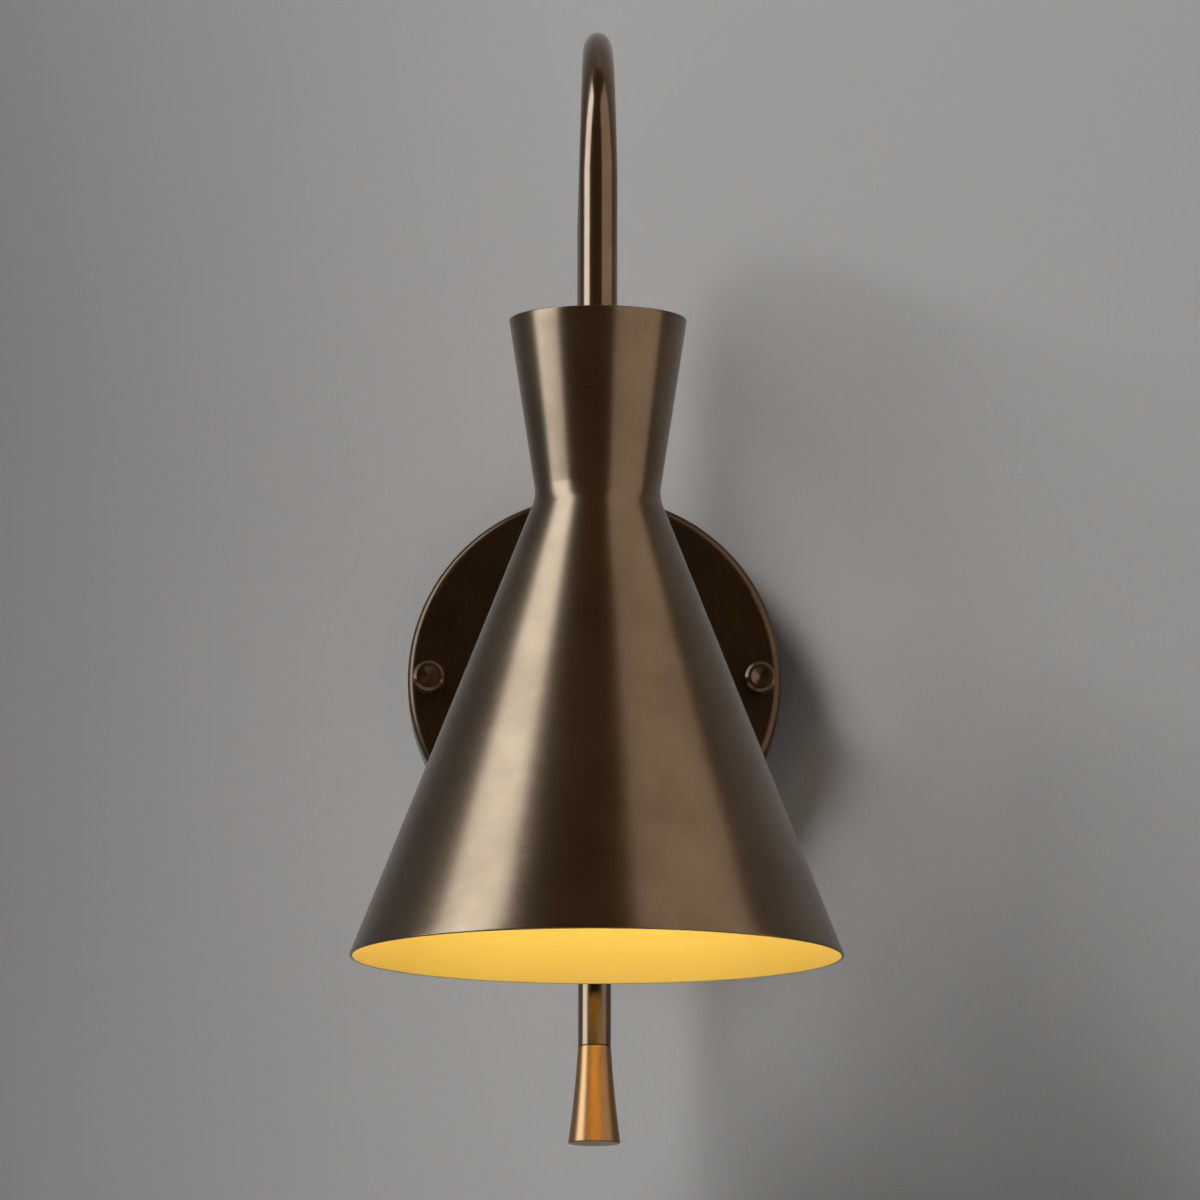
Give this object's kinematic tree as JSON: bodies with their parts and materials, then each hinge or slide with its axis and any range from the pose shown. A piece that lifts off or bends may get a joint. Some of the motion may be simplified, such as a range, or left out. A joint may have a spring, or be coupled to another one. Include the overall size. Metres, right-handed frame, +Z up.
{
  "type": "wall sconce",
  "caption": "Wall sconce with an hourglass metal shade hung from a hooked tube arm on a round wall plate, over a tail rod with a flared finial.",
  "frame": {"origin": "centre of the wall plate on the wall plane, which is also the middle of the crossbar's two box-screw slots", "axes": "+Z up, +Y into the wall, so the lamp stands out towards -Y; +X to the right of someone facing the wall"},
  "size_m": [0.1616, 0.2308, 0.3679],
  "materials": {
    "plate_bronze": "dark brushed bronze",
    "arm_bronze": "dark brushed bronze",
    "shade_bronze": "brushed bronze outside, gold inside",
    "zinc_steel": "zinc plated",
    "earth_green": "green passivated",
    "holder_brass": "bright brass",
    "liner_fibre": "fibre board",
    "block_phenolic": "black phenolic",
    "contact_brass": "bright brass",
    "lamp_glass": "frosted glass",
    "lamp_base": "rolled aluminium",
    "lamp_black_glass": "black glass",
    "filament": "phosphor coating",
    "lead_black": "insulated wire",
    "lead_white": "insulated wire",
    "lead_green": "insulated wire",
    "connector_plastic": "moulded plastic"
  },
  "bodies": {
    "fixture": {"backplate": "plate_bronze", "crossbar": "zinc_steel", "mounting_studs": "zinc_steel", "stud_locknuts": "zinc_steel", "ground_screw": "earth_green", "ground_ring": "zinc_steel", "wire_connectors": "connector_plastic", "post_nipple": "zinc_steel", "post_lock_washer": "zinc_steel", "post_locknut": "zinc_steel", "arm_post": "arm_bronze", "knuckle": "arm_bronze", "set_screw": "zinc_steel", "arm_tube": "arm_bronze", "tail_rod": "arm_bronze", "tail_finial": "arm_bronze", "shade_shell": "shade_bronze", "shade_cap": "shade_bronze", "arm_end_bush": "holder_brass", "tube_collar": "arm_bronze", "shade_nipple": "zinc_steel", "shade_washer": "zinc_steel", "shade_locknut": "zinc_steel", "lampholder_cap": "holder_brass", "lampholder_shell": "holder_brass", "lampholder_liner": "liner_fibre", "lampholder_block": "block_phenolic", "terminal_screws": "contact_brass", "screw_shell": "contact_brass", "centre_contact": "contact_brass", "lead_black": "lead_black", "lead_white": "lead_white", "lead_green": "lead_green"},
    "lamp": {"bulb_contact": "zinc_steel", "bulb_insulator": "lamp_black_glass", "bulb_base": "lamp_base", "bulb_glass": "lamp_glass", "bulb_stem": "lamp_glass", "bulb_filaments": "filament"},
    "cap_nut_left": {"cap_nut_left": "plate_bronze"},
    "cap_nut_right": {"cap_nut_right": "plate_bronze"}
  },
  "joints": [
    {"name": "lamp_unscrew", "type": "slide", "parent": "fixture", "child": "lamp", "axis": [0, 0, -1], "range_m": [0, 0.025]},
    {"name": "cap_nut_left_turn", "type": "hinge", "parent": "fixture", "child": "cap_nut_left", "pos_m": [-0.0562, -0.022, 0], "axis": [0, -1, 0], "continuous": true},
    {"name": "cap_nut_right_turn", "type": "hinge", "parent": "fixture", "child": "cap_nut_right", "pos_m": [0.0562, -0.022, 0], "axis": [0, -1, 0], "continuous": true}
  ]
}
